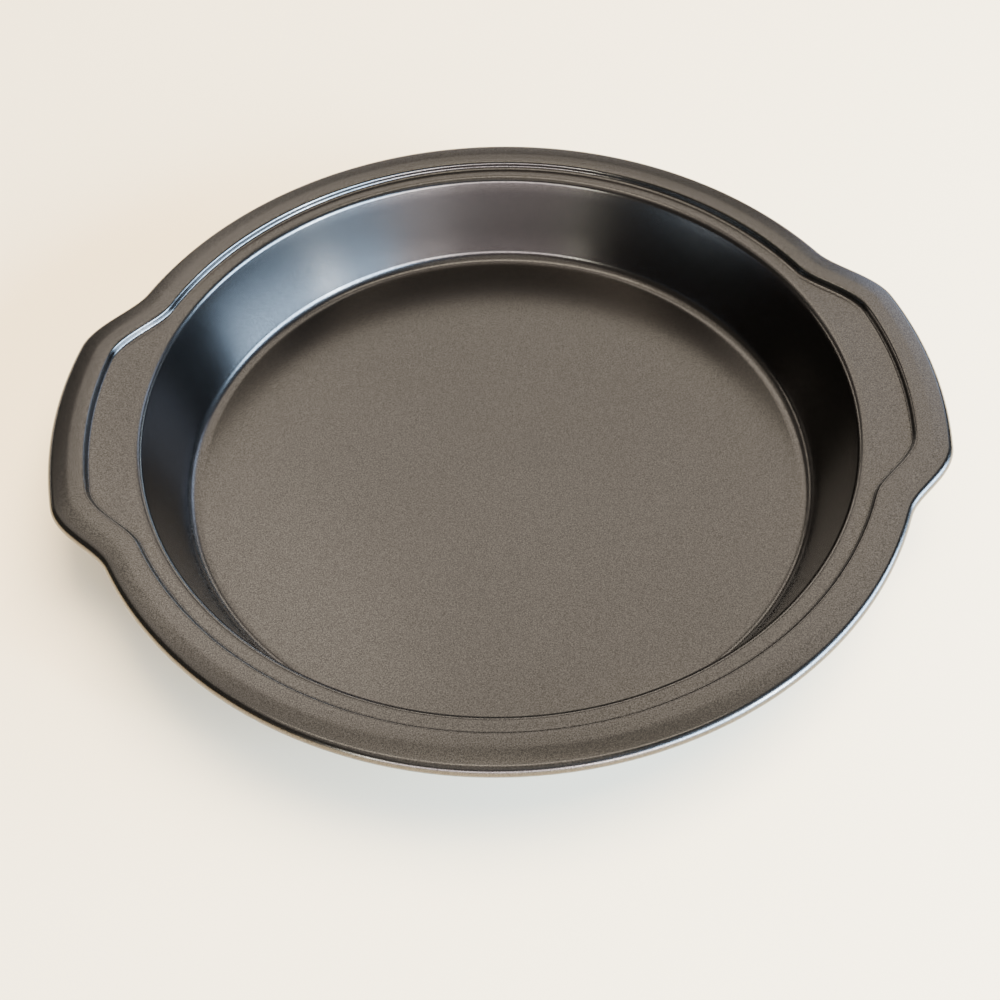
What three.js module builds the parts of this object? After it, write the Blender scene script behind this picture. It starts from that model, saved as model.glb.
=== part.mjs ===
// A round one-piece baking pan with two flat tab handles, as the press shop makes it: one disc of thin
// steel drawn into a well with a sloping side, a narrow shelf, a raised flange and a curled edge, with a
// baked non-stick coat on the baking side. Millimetres, +Z up. The pan stands on z = 0, its axis is Z, and
// the two tabs point along +X and -X.
import * as THREE from "three";

// Coat and sheet, from the baking side down.
const INSIDE_COAT = 0.05;
const STEEL = 0.75;
const WALL = INSIDE_COAT + STEEL;

// Finished baking-side face. Corner radii are where the straight stretches would meet.
const FLOOR_Z = WALL;
const FLOOR_CORNER = 105.3;
const FLOOR_FILLET = 5;
const SHELF_Z = FLOOR_Z + 31.8;
const MOUTH_CORNER = 114.9;
const MOUTH_FILLET = 3;
const FLANGE_Z = SHELF_Z + 2.7;
const STEP_FOOT = 120.4;
const STEP_FOOT_FILLET = 1.2;
const STEP_HEAD = 121;
const STEP_HEAD_FILLET = 1.4;
const FLANGE_BEND = 126;
const FLANGE_BEND_FILLET = 20;
const FLANGE_FALL = THREE.MathUtils.degToRad(4);

// The curled edge: a bead rolled down and under, open where the sheet's own edge stops.
const RIM_RADIUS = 132.6;
const BEAD_RADIUS = 2.4;
const BEAD_END = THREE.MathUtils.degToRad(235);
const BEAD_STEPS = 6;

// Tab handles: the step, flange and bead all move outwards by TAB_REACH, and the shelf widens to follow.
// Each ring further in starts its flank earlier, by TAB_LEAD for every millimetre, so the flange keeps
// nearly one width on the slanting flanks and the step's corners stay round.
const TAB_REACH = 10.2;
const TAB_FLAT = THREE.MathUtils.degToRad(14);
const TAB_END = THREE.MathUtils.degToRad(26.5);
const TAB_LEAD = THREE.MathUtils.degToRad(0.13);

// Stations around the pan.
const FINE_PER_QUARTER = 10;
const COARSE_PER_QUARTER = 8;
const FINE_REACH = THREE.MathUtils.degToRad(30);
const STATIONS = 4 * (FINE_PER_QUARTER + COARSE_PER_QUARTER);

// A point of the face in the pan's (radius, height) plane, with the unit vector out of the baking side
// and the share of the tab's reach that it takes.
function facePoint(at, angle, reach) {
  return { at, out: new THREE.Vector2(-Math.sin(angle), Math.cos(angle)), reach };
}

// Rounds one corner between two straight stretches: the points of its arc, tangent to both.
function roundCorner(before, corner, after, radius, steps, reach) {
  const inward = corner.clone().sub(before).angle();
  let turn = after.clone().sub(corner).angle() - inward;
  turn = Math.atan2(Math.sin(turn), Math.cos(turn));
  const back = radius * Math.tan(Math.abs(turn) / 2);
  const start = corner.clone().add(new THREE.Vector2(-back, 0).rotateAround(new THREE.Vector2(), inward));
  const side = Math.sign(turn);
  const toCentre = new THREE.Vector2(0, side * radius).rotateAround(new THREE.Vector2(), inward);
  const centre = start.clone().add(toCentre);
  const points = [];
  for (let i = 0; i <= steps; i++) {
    const angle = inward + (turn * i) / steps;
    const spoke = new THREE.Vector2(0, -side * radius).rotateAround(new THREE.Vector2(), angle);
    points.push(facePoint(centre.clone().add(spoke), angle, reach));
  }
  return points;
}

// The whole baking-side face from the axis to the end of the curl.
function facePath() {
  const axis = new THREE.Vector2(0, FLOOR_Z);
  const floorCorner = new THREE.Vector2(FLOOR_CORNER, FLOOR_Z);
  const mouth = new THREE.Vector2(MOUTH_CORNER, SHELF_Z);
  const foot = new THREE.Vector2(STEP_FOOT, SHELF_Z);
  const head = new THREE.Vector2(STEP_HEAD, FLANGE_Z);
  const bend = new THREE.Vector2(FLANGE_BEND, FLANGE_Z);
  const beadTop = new THREE.Vector2(RIM_RADIUS - BEAD_RADIUS * (1 - Math.sin(FLANGE_FALL)), 0);
  beadTop.y = FLANGE_Z - (beadTop.x - FLANGE_BEND) * Math.tan(FLANGE_FALL);
  const path = [
    facePoint(axis, 0, 0),
    ...roundCorner(axis, floorCorner, mouth, FLOOR_FILLET, 2, 0),
    ...roundCorner(floorCorner, mouth, foot, MOUTH_FILLET, 2, 0),
    ...roundCorner(mouth, foot, head, STEP_FOOT_FILLET, 1, 1),
    ...roundCorner(foot, head, bend, STEP_HEAD_FILLET, 1, 1),
    ...roundCorner(head, bend, beadTop, FLANGE_BEND_FILLET, 1, 1),
  ];
  const beadHeight = beadTop.y - BEAD_RADIUS * Math.cos(FLANGE_FALL);
  const beadCentre = new THREE.Vector2(RIM_RADIUS - BEAD_RADIUS, beadHeight);
  for (let i = 0; i <= BEAD_STEPS; i++) {
    const angle = -THREE.MathUtils.lerp(FLANGE_FALL, BEAD_END, i / BEAD_STEPS);
    const spoke = new THREE.Vector2(0, BEAD_RADIUS).rotateAround(new THREE.Vector2(), angle);
    path.push(facePoint(beadCentre.clone().add(spoke), angle, 1));
  }
  return path;
}

// Angles of the stations around the pan: close together along the tabs, wider apart between them.
function stationAngle(station) {
  const quarter = FINE_PER_QUARTER + COARSE_PER_QUARTER;
  const turn = Math.floor(station / quarter);
  const step = station % quarter;
  const backwards = turn % 2 === 1;
  const along = backwards ? quarter - step : step;
  const fine = (FINE_REACH * Math.min(along, FINE_PER_QUARTER)) / FINE_PER_QUARTER;
  const coarse = ((Math.PI / 2 - FINE_REACH) * Math.max(along - FINE_PER_QUARTER, 0)) / COARSE_PER_QUARTER;
  const fromTabAxis = fine + coarse;
  return (turn * Math.PI) / 2 + (backwards ? Math.PI / 2 - fromTabAxis : fromTabAxis);
}

// Share of the tab's reach at an angle round the pan, for a ring this far inside the rim: all of it
// across the tab's arc, easing to none at the foot of the flank.
function tabShare(angle, inset) {
  const fromTabAxis = Math.acos(Math.min(1, Math.abs(Math.cos(angle))));
  const lead = TAB_LEAD * inset;
  return 1 - THREE.MathUtils.smoothstep(fromTabAxis, TAB_FLAT - lead, TAB_END - lead);
}

// Plan position of a profile radius at an angle. Inside the shelf it is the plain circle, and from the
// step outwards it is carried out across the tabs.
function planPosition(radius, angle, followsRim) {
  const reach = followsRim ? TAB_REACH * tabShare(angle, RIM_RADIUS - radius) : 0;
  return new THREE.Vector2(Math.cos(angle), Math.sin(angle)).multiplyScalar(radius + reach);
}

// The lathe splits every quad along the same diagonal of its own winding. Splitting the underside the
// other way makes the two faces of a layer match, so that neighbouring layers meet without crossing.
function splitUndersideLikeTop(geometry, perStation, pathLength) {
  const corners = [];
  for (let station = 0; station < STATIONS; station++) {
    for (let j = 0; j < perStation - 1; j++) {
      const a = station * perStation + j;
      const b = a + perStation;
      const isUnderside = j < pathLength - 1;
      corners.push(...(isUnderside ? [a, b, b + 1, b + 1, a + 1, a] : [a, b, a + 1, b + 1, a + 1, b]));
    }
  }
  geometry.setIndex(corners);
}

// One layer of the sheet, between two depths under the baking-side face: turned round the axis as a
// profile that starts and ends on it, then carried out to the outline's stations.
function layer(name, from, to, material) {
  const path = facePath();
  const atDepth = (depth) => path.map((p) => p.at.clone().addScaledVector(p.out, -depth));
  const profile = [...atDepth(to), ...atDepth(from).reverse()];
  const reach = [...path, ...path.slice().reverse()].map((p) => p.reach);
  const geometry = new THREE.LatheGeometry(profile, STATIONS);
  splitUndersideLikeTop(geometry, profile.length, path.length);
  const place = geometry.getAttribute("position");
  for (let i = 0; i < place.count; i++) {
    const j = i % profile.length;
    const angle = stationAngle(Math.floor(i / profile.length));
    const plan = planPosition(profile[j].x, angle, reach[j] === 1);
    place.setXYZ(i, plan.x, plan.y, profile[j].y);
  }
  geometry.computeVertexNormals();
  const mesh = new THREE.Mesh(geometry, material);
  mesh.name = name;
  return mesh;
}

function nonStickCoat() {
  return new THREE.MeshStandardMaterial({ color: 0x6f6860, roughness: 0.42, metalness: 0.75 });
}

function coatedSteelBack() {
  return new THREE.MeshStandardMaterial({ color: 0x4b4845, roughness: 0.5, metalness: 0.6 });
}

const pan = new THREE.Group();
pan.add(
  layer("inside_coating", 0, INSIDE_COAT, nonStickCoat()),
  layer("pan_body", INSIDE_COAT, INSIDE_COAT + STEEL, coatedSteelBack()),
);
export default pan;
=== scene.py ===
# %% [markdown]
# # A one-piece tart pan
# The pan is drawn from a single disc of steel: a flat floor, a sloping side, a narrow shelf, a step up to a
# flange, and a curled edge. Two tab handles are the same flange carried outwards. A non-stick coat covers
# the baking side and follows the sheet round the curl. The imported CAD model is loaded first, because it
# says where everything is.

import bpy
import numpy as np
from mathutils import Matrix, Vector


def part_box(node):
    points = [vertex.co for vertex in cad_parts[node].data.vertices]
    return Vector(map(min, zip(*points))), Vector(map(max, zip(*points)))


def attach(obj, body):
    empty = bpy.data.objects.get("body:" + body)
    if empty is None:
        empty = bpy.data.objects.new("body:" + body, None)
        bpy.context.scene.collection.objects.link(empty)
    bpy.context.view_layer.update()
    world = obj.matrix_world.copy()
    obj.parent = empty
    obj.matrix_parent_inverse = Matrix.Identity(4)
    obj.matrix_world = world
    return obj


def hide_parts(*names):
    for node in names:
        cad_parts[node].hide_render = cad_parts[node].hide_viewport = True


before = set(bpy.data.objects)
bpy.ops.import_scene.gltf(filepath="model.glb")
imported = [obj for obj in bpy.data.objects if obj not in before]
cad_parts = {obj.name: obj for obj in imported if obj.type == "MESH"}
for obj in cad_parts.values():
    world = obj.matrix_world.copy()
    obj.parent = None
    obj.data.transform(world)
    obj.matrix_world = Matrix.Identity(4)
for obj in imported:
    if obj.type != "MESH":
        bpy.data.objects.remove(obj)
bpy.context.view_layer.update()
MM = 0.001

# %% [markdown]
# ## The profile
# Everything but the tabs is one line turned about the axis, so that line comes first. It could be drawn as
# a curve and spun. Worked out as numbers, though, each of its points also keeps the angle of the surface
# there, which is needed because a sheet's thickness is measured square to it. A press leaves no sharp
# corner, so each corner is an arc with many small steps, which gives the thin highlights round the rim.

# %% Driving sizes of the profile, in mm from the axis or above the table
COAT = 0.05
STEEL = 0.75
FLOOR_Z = float(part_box("inside_coating")[0][2]) / MM + COAT
SHELF_Z = FLOOR_Z + 31.8
FLANGE_Z = float(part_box("inside_coating")[1][2]) / MM
FLOOR_CORNER = 105.3
MOUTH_CORNER = 114.9
STEP_FOOT = 120.4
STEP_HEAD = 121.0
FLANGE_BEND = 126.0
FLANGE_FALL = np.radians(4)
RIM_RADIUS = 132.6
BEAD_RADIUS = 2.4
BEAD_END = np.radians(235)
BEAD_STEPS = 40
print("floor, shelf and flange heights, mm:", round(FLOOR_Z, 2), round(SHELF_Z, 2), round(FLANGE_Z, 2))


# %% Rounded corners and straight stretches
def rounded_corner(before, corner, after, radius, steps):
    """Points of an arc that touches both straight stretches at a corner. The arc's centre is one radius
    square to the first stretch, on the side the line turns to, and a spoke swings from the first stretch's
    angle to the second's. Returns rows of (radius, height, surface angle)."""
    inward = np.arctan2(*(corner - before)[::-1])
    turn = np.arctan2(*(after - corner)[::-1]) - inward
    turn = np.arctan2(np.sin(turn), np.cos(turn))
    side = np.sign(turn)
    along = np.array([np.cos(inward), np.sin(inward)])
    square = np.array([-np.sin(inward), np.cos(inward)])
    start = corner - along * radius * np.tan(abs(turn) / 2)
    centre = start + square * side * radius
    angle = inward + turn * np.linspace(0, 1, steps + 1)
    points = centre + side * radius * np.stack([np.sin(angle), -np.cos(angle)], 1)
    return np.column_stack([points, angle])


def stretch(start, end, count):
    """Evenly spaced points strictly between the end of one arc and the start of the next, with the
    surface angle changing evenly too."""
    share = np.linspace(0, 1, count + 2)[1:-1, None]
    return start + (end - start) * share


# %% The corners of the line, and the arcs that round them
bead_top = np.array([RIM_RADIUS - BEAD_RADIUS * (1 - np.sin(FLANGE_FALL)), 0.0])
bead_top[1] = FLANGE_Z - (bead_top[0] - FLANGE_BEND) * np.tan(FLANGE_FALL)
corners = np.array([
    [0, FLOOR_Z],
    [FLOOR_CORNER, FLOOR_Z],
    [MOUTH_CORNER, SHELF_Z],
    [STEP_FOOT, SHELF_Z],
    [STEP_HEAD, FLANGE_Z],
    [FLANGE_BEND, FLANGE_Z],
    bead_top,
])
# Radius and steps of each arc: floor corner, mouth, foot and head of the step, bend of the flange.
rounding = [(5.0, 14), (3.0, 12), (1.2, 8), (1.4, 10), (20.0, 4)]
arcs = [
    rounded_corner(corners[i], corners[i + 1], corners[i + 2], radius, steps)
    for i, (radius, steps) in enumerate(rounding)
]
floor_arc, mouth_arc, foot_arc = arcs[:3]
print("side rises from and to radius, mm:", floor_arc[-1, 0].round(1), mouth_arc[0, 0].round(1))

# %% The curl, which turns down and under from the outer end of the flange
bead_centre = np.array([
    RIM_RADIUS - BEAD_RADIUS,
    bead_top[1] - BEAD_RADIUS * np.cos(FLANGE_FALL),
])
bead_angle = -np.linspace(FLANGE_FALL, BEAD_END, BEAD_STEPS + 1)
bead = np.column_stack([
    bead_centre + BEAD_RADIUS * np.stack([-np.sin(bead_angle), np.cos(bead_angle)], 1),
    bead_angle,
])
print("lowest point of the curl, mm above the table:", bead[:, 1].min().round(2))

# %% The whole line, from the axis to the end of the curl
axis_point = np.array([0.0, FLOOR_Z, 0.0])
# Points between the arcs: on the floor, the side, the shelf, the step and the flange.
between = [12, 6, 2, 1, 2]
line = [axis_point[None]]
for start, arc, count in zip([axis_point] + [arc[-1] for arc in arcs], arcs, between):
    line += [stretch(start, arc[0], count), arc]
path = np.concatenate(line + [bead])
# Only the step, the flange and the curl follow the tabs.
TOUCH = 1e-9
rim_part = path[:, 0] >= foot_arc[0, 0] - TOUCH
print("profile points:", len(path), "of which follow the tabs:", rim_part.sum())

# %% [markdown]
# ## The tabs
# Seen from above, the rim is a circle that swells to a larger arc across each tab, and the step and the
# flange go with it. One swelling for all of them would pinch the flange on the tabs' slanting flanks, and
# exact parallel curves would leave the step with sharp corners. So each ring further in starts its flank a
# little earlier, which keeps the flange nearly one width and every corner round.

# %% How far each ring swells
TAB_REACH = 10.2
TAB_FLAT = np.radians(14)
TAB_END = np.radians(26.5)
TAB_LEAD = np.radians(0.13)
STATIONS = 400


def tab_share(angle, inset):
    """Share of the tab's reach at an angle, for a ring this far inside the rim: one minus a smooth step
    from the tab's flat arc to its end, both brought forward by the lead times the inset."""
    from_tab_axis = np.arccos(np.clip(np.abs(np.cos(angle)), 0, 1))
    lead = TAB_LEAD * inset
    share = np.clip((from_tab_axis - TAB_FLAT + lead) / (TAB_END - TAB_FLAT), 0, 1)
    return 1 - share * share * (3 - 2 * share)


around = np.linspace(0, 2 * np.pi, STATIONS, endpoint=False)
spoke = np.stack([np.cos(around), np.sin(around)], 1)
print("rim radius over a tab and between tabs, mm:", round(RIM_RADIUS + TAB_REACH, 1), RIM_RADIUS)

# %% [markdown]
# ## The two layers
# The steel and its coat are the same surface at two depths. A thickness modifier on one surface would do
# for the steel alone, but the steel and the coat share a face, and here both get it from one formula. Each
# layer is closed by running the profile out along its upper face and back along its lower one. The two
# ends meet on the axis, and there each face is closed with a fan of triangles.


# %% Points and faces of a closed layer
def layer_points(upper, lower):
    """Points of a layer between two depths under the baking side. Every profile point moves along its own
    surface normal by the depth. Points inside the shelf go round a circle, and the rest swell across the
    tabs by the tab's reach times their ring's share. Returns the points in rows of one loop for each
    station, then the two on the axis, and the length of a loop."""
    normal = np.stack([-np.sin(path[:, 2]), np.cos(path[:, 2])], 1)
    top = path[:, :2] - upper * normal
    under = path[:, :2] - lower * normal
    loop = np.concatenate([top[1:], under[:0:-1]])
    on_rim = np.concatenate([rim_part[1:], rim_part[:0:-1]])
    swell = TAB_REACH * tab_share(around[:, None], RIM_RADIUS - loop[None, :, 0]) * on_rim
    plan = spoke[:, None] * (loop[None, :, 0] + swell)[..., None]
    height = np.broadcast_to(loop[None, :, 1:], (STATIONS, len(loop), 1))
    grid = np.concatenate([plan, height], 2).reshape(-1, 3)
    poles = np.array([[0, 0, top[0, 1]], [0, 0, under[0, 1]]])
    return np.concatenate([grid, poles]) * MM, len(loop)


def layer_faces(rows):
    """Faces between neighbouring stations: a strip of four-sided faces along the loop, then one triangle
    to the upper axis point and one to the lower, all in an order that turns them outwards."""
    station = np.arange(STATIONS)
    following = (station + 1) % STATIONS
    j = np.arange(rows - 1)
    here = station[:, None] * rows + j
    there = following[:, None] * rows + j
    quads = np.stack([here, here + 1, there + 1, there], -1).reshape(-1, 4)
    upper_pole = np.full(STATIONS, STATIONS * rows)
    fan_top = np.stack([upper_pole, station * rows, following * rows], 1)
    fan_under = np.stack([upper_pole + 1, following * rows + rows - 1, station * rows + rows - 1], 1)
    return quads.tolist() + fan_top.tolist() + fan_under.tolist()


# %% One layer as a mesh
def sheet_layer(name, upper, lower):
    """Closed solid between two depths, both measured in mm square to the baking side."""
    points, rows = layer_points(upper, lower)
    mesh = bpy.data.meshes.new(name)
    mesh.from_pydata(points.tolist(), [], layer_faces(rows))
    mesh.update()
    mesh.shade_smooth()
    piece = bpy.data.objects.new(name, mesh)
    bpy.context.scene.collection.objects.link(piece)
    # A face with n corners makes n - 2 triangles.
    print(name, "triangles:", len(mesh.loops) - 2 * len(mesh.polygons))
    return piece


nonstick_coat = sheet_layer("nonstick_coat", 0.0, COAT)
pressed_sheet = sheet_layer("pressed_sheet", COAT, COAT + STEEL)

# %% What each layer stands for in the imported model
for piece, node, slot in (
    (nonstick_coat, "inside_coating", "nonstick_coat"),
    (pressed_sheet, "pan_body", "coated_steel"),
):
    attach(piece, "root")
    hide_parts(node)
    print(piece.name, "stands for", node)

# %% [markdown]
# ## The two finishes
# Baked non-stick coats carry metal flakes in a dark resin. Each flake lies at its own tilt, so close up
# the surface glitters in grains about a third of a millimetre across, and from afar it looks like satin
# metal. A plain metal with a high roughness would give the satin but not the glitter. So one fine noise
# drives three things at once: the colour of each grain, how mirror-like it is, and a shallow bump. A
# slower noise shifts the tone a little where the spray was thicker. The back is the same kind of coat with
# less metal in it, coarser and duller.

# %% How the grains behave, in either finish
GRAIN_DARK_AT = 0.32
GRAIN_LIGHT_AT = 0.68
GRAIN_DETAIL = 2.0
GRAIN_GLOSS = 0.06
GRAIN_HEIGHT = 0.00004
CLOUDS_PER_METRE = 14.0
CLOUD_DETAIL = 3.0
CLOUD_TONE = 0.07
print("height of a grain, mm:", GRAIN_HEIGHT / MM)


def noise(nodes, link, place, per_metre, detail):
    """Smooth random values over the piece's own coordinates, this many swings to a metre."""
    texture = nodes.new("ShaderNodeTexNoise")
    texture.inputs["Scale"].default_value = per_metre
    texture.inputs["Detail"].default_value = detail
    link(place, texture.inputs["Vector"])
    return texture.outputs["Fac"]


def spread(nodes, link, value, low, high):
    """A noise value carried evenly from the range 0 to 1 to the range low to high."""
    node = nodes.new("ShaderNodeMapRange")
    node.inputs["To Min"].default_value = low
    node.inputs["To Max"].default_value = high
    link(value, node.inputs["Value"])
    return node.outputs["Result"]


def grain_colour(nodes, link, grain, cloud, dark, light):
    """Colour that runs from dark to light with the grain, times a factor near one from the cloud."""
    tone = nodes.new("ShaderNodeValToRGB")
    for element, at, colour in zip(
        tone.color_ramp.elements, (GRAIN_DARK_AT, GRAIN_LIGHT_AT), (dark, light)
    ):
        element.position = at
        element.color = (*colour, 1)
    link(grain, tone.inputs["Fac"])
    shade = nodes.new("ShaderNodeVectorMath")
    shade.operation = "SCALE"
    link(tone.outputs["Color"], shade.inputs[0])
    link(spread(nodes, link, cloud, 1 - CLOUD_TONE, 1 + CLOUD_TONE), shade.inputs["Scale"])
    return shade.outputs["Vector"]


# %% A flake-filled coat
def flake_coat(name, dark, light, roughness, metallic, grains_per_metre, bump):
    """Principled surface whose colour, gloss and bump follow one fine noise, so that bright grains are
    also the raised and the shinier ones."""
    material = bpy.data.materials.new(name)
    material.use_nodes = True
    nodes = material.node_tree.nodes
    link = material.node_tree.links.new
    surface = nodes["Principled BSDF"]
    surface.inputs["Metallic"].default_value = metallic
    place = nodes.new("ShaderNodeTexCoord").outputs["Object"]
    grain = noise(nodes, link, place, grains_per_metre, GRAIN_DETAIL)
    cloud = noise(nodes, link, place, CLOUDS_PER_METRE, CLOUD_DETAIL)
    link(grain_colour(nodes, link, grain, cloud, dark, light), surface.inputs["Base Color"])
    gloss = spread(nodes, link, grain, roughness + GRAIN_GLOSS, roughness - GRAIN_GLOSS)
    link(gloss, surface.inputs["Roughness"])
    relief = nodes.new("ShaderNodeBump")
    relief.inputs["Strength"].default_value = bump
    relief.inputs["Distance"].default_value = GRAIN_HEIGHT
    link(grain, relief.inputs["Height"])
    link(relief.outputs["Normal"], surface.inputs["Normal"])
    return material


# %% The baking side: a warm grey satin
baking_side = flake_coat(
    "flaked nonstick",
    dark=(0.050, 0.045, 0.040),
    light=(0.114, 0.104, 0.092),
    roughness=0.23,
    metallic=1.0,
    grains_per_metre=2800.0,
    bump=0.24,
)
nonstick_coat.data.materials.append(baking_side)
print("baking side:", baking_side.name)

# %% The back: darker, duller and a little coarser
back_side = flake_coat(
    "dark back finish",
    dark=(0.02, 0.019, 0.018),
    light=(0.06, 0.056, 0.052),
    roughness=0.38,
    metallic=0.6,
    grains_per_metre=1800.0,
    bump=0.35,
)
pressed_sheet.data.materials.append(back_side)
print("back:", back_side.name)

# %% [markdown]
# ## The table
# The pan stands on a plain cream table, much larger than the view, so that no edge of it shows from above.
# It lies a hair below the pan's floor, because two faces at one height would flicker.

# %% Table
TABLE_HALF = 3.0
TABLE_Z = -0.0001
CREAM = (0.97, 0.81, 0.54, 1)
table_mesh = bpy.data.meshes.new("table")
table_mesh.from_pydata(
    [(x * TABLE_HALF, y * TABLE_HALF, TABLE_Z) for x, y in ((-1, -1), (1, -1), (1, 1), (-1, 1))],
    [],
    [(0, 1, 2, 3)],
)
table = bpy.data.objects.new("table", table_mesh)
bpy.context.scene.collection.objects.link(table)
cream = bpy.data.materials.new("cream table")
cream.use_nodes = True
cream.node_tree.nodes["Principled BSDF"].inputs["Base Color"].default_value = CREAM
cream.node_tree.nodes["Principled BSDF"].inputs["Roughness"].default_value = 0.8
table_mesh.materials.append(cream)
print("table, m across:", 2 * TABLE_HALF)

# %% [markdown]
# ## The light
# Shiny sheet metal shows what is round it, so the room is as much a part of its look as its finish. Each
# panel below is one bright part of a room, put where a face of the pan mirrors it. The floor, the shelf and
# the flange mirror what is high behind. The rounded edges catch the ceiling. A cool window low on the
# right, with a brighter gap in its curtain, shows in the left of the sloping side, and the front of the
# room shows in the far side. Little stands on the left, so the right of the side falls to black.


# %% Soft panels
def facing(at, towards):
    """The turn that points a panel's front, its -Z side, from one place to another."""
    return (Vector(towards) - Vector(at)).to_track_quat("-Z", "Y").to_euler()


PAN_MIDDLE = (0, 0, 0.03)


def soft_panel(name, at, width, height, watts, colour):
    """A rectangular soft light that faces the pan. Returns the lamp."""
    data = bpy.data.lights.new(name, "AREA")
    data.shape = "RECTANGLE"
    data.size = width
    data.size_y = height
    data.energy = watts
    data.color = colour
    lamp = bpy.data.objects.new(name, data)
    lamp.location = at
    lamp.rotation_euler = facing(at, PAN_MIDDLE)
    bpy.context.scene.collection.objects.link(lamp)
    return lamp


# %% The colours of the room's light
WARM_WALL = (1.0, 0.95, 0.88)
LAMP_WHITE = (1.0, 0.94, 0.84)
AMBER = (1.0, 0.85, 0.62)
DAYLIGHT = (0.42, 0.65, 1.0)
CURTAIN_GAP = (0.75, 0.87, 1.0)
PALE_DAYLIGHT = (0.50, 0.66, 1.0)
ROSE_GREY = (0.97, 0.91, 1.0)
COOL_GREY = (0.95, 0.93, 1.0)
LEAF_GREY = (0.95, 1.0, 0.90)

# %% Behind and above: what the floor, the shelf, the flange and the rounded edges mirror
soft_panel("high behind", at=(0.23, 0.95, 1.25), width=1.95, height=1.05, watts=14.2, colour=WARM_WALL)
soft_panel("ceiling", at=(-0.40, -0.15, 1.50), width=2.9, height=1.3, watts=11, colour=WARM_WALL)
soft_panel("ceiling lamp", at=(0.0, 0.05, 1.45), width=1.2, height=0.25, watts=5, colour=LAMP_WHITE)
soft_panel("low behind", at=(0.10, 1.50, 0.42), width=1.6, height=0.3, watts=6, colour=WARM_WALL)
soft_panel("low left", at=(-1.0, 0.95, 0.30), width=0.9, height=0.2, watts=2, colour=WARM_WALL)

# %% Windows and the front of the room: what the sloping side mirrors
soft_panel("window", at=(1.07, -0.55, 0.38), width=1.5, height=0.50, watts=150, colour=DAYLIGHT)
soft_panel("gap", at=(0.93, -0.66, 0.38), width=0.07, height=0.5, watts=20, colour=CURTAIN_GAP)
soft_panel("far window", at=(0.82, 0.85, 0.53), width=0.5, height=0.3, watts=2.5, colour=PALE_DAYLIGHT)
soft_panel("low in front", at=(0.02, -1.2, 0.26), width=1.5, height=0.28, watts=19, colour=ROSE_GREY)
soft_panel("by the window", at=(0.45, -1.12, 0.26), width=0.45, height=0.28, watts=9, colour=COOL_GREY)
soft_panel("doorway", at=(-0.64, -1.04, 0.26), width=0.05, height=0.28, watts=2.5, colour=LEAF_GREY)

# %% A warm glow for the table alone
# The table needs more light than the metal may show, so this panel is left out of mirror-like bounces.
glow = soft_panel("glow", at=(0.6, 0.2, 2.0), width=1.5, height=1.4, watts=165, colour=AMBER)
glow.visible_glossy = False

# %% The dim rest of the room
ROOM_STRENGTH = 0.18
world = bpy.data.worlds.new("room")
world.use_nodes = True
world.node_tree.nodes["Background"].inputs["Color"].default_value = (*WARM_WALL, 1)
world.node_tree.nodes["Background"].inputs["Strength"].default_value = ROOM_STRENGTH
bpy.context.scene.world = world

# %% [markdown]
# ## The camera
# The pan is seen from close by, at about 52 degrees above the table, and turned a little so that its tabs
# are not quite level. A camera made to track the pan would stay upright, and this one leans a little. So
# its three axes are worked out from the tilt and roll, then turned with its place about the pan's axis.

# %% Camera
LENS_MM = 43.2
SENSOR_MM = 36
TILT = np.radians(52.29)
ROLL = np.radians(1.97)
PAN_TURN = -np.radians(2.4)
DISTANCE = 0.3613
AIM = np.array([-0.0044, -0.0459, 0.0311])
SHIFT_X = 0.012
SHIFT_Y = 0.013
CLOSEST = 0.01

back = np.array([0, -np.cos(TILT), np.sin(TILT)])
level_right = np.array([1.0, 0, 0])
level_up = np.array([0, np.sin(TILT), np.cos(TILT)])
right = np.cos(ROLL) * level_right - np.sin(ROLL) * level_up
up = np.sin(ROLL) * level_right + np.cos(ROLL) * level_up
place = AIM + back * DISTANCE
camera_data = bpy.data.cameras.new("camera")
camera_data.sensor_width = SENSOR_MM
camera_data.lens = LENS_MM
camera_data.shift_x = SHIFT_X
camera_data.shift_y = SHIFT_Y
camera_data.clip_start = CLOSEST
camera = bpy.data.objects.new("camera", camera_data)
standing = Matrix.Identity(4)
for column, axis in enumerate((right, up, back, place)):
    for row in range(3):
        standing[row][column] = float(axis[row])
camera.matrix_world = Matrix.Rotation(PAN_TURN, 4, "Z") @ standing
bpy.context.scene.collection.objects.link(camera)
bpy.context.scene.camera = camera
print("camera at, m:", [round(v, 4) for v in camera.matrix_world.translation])
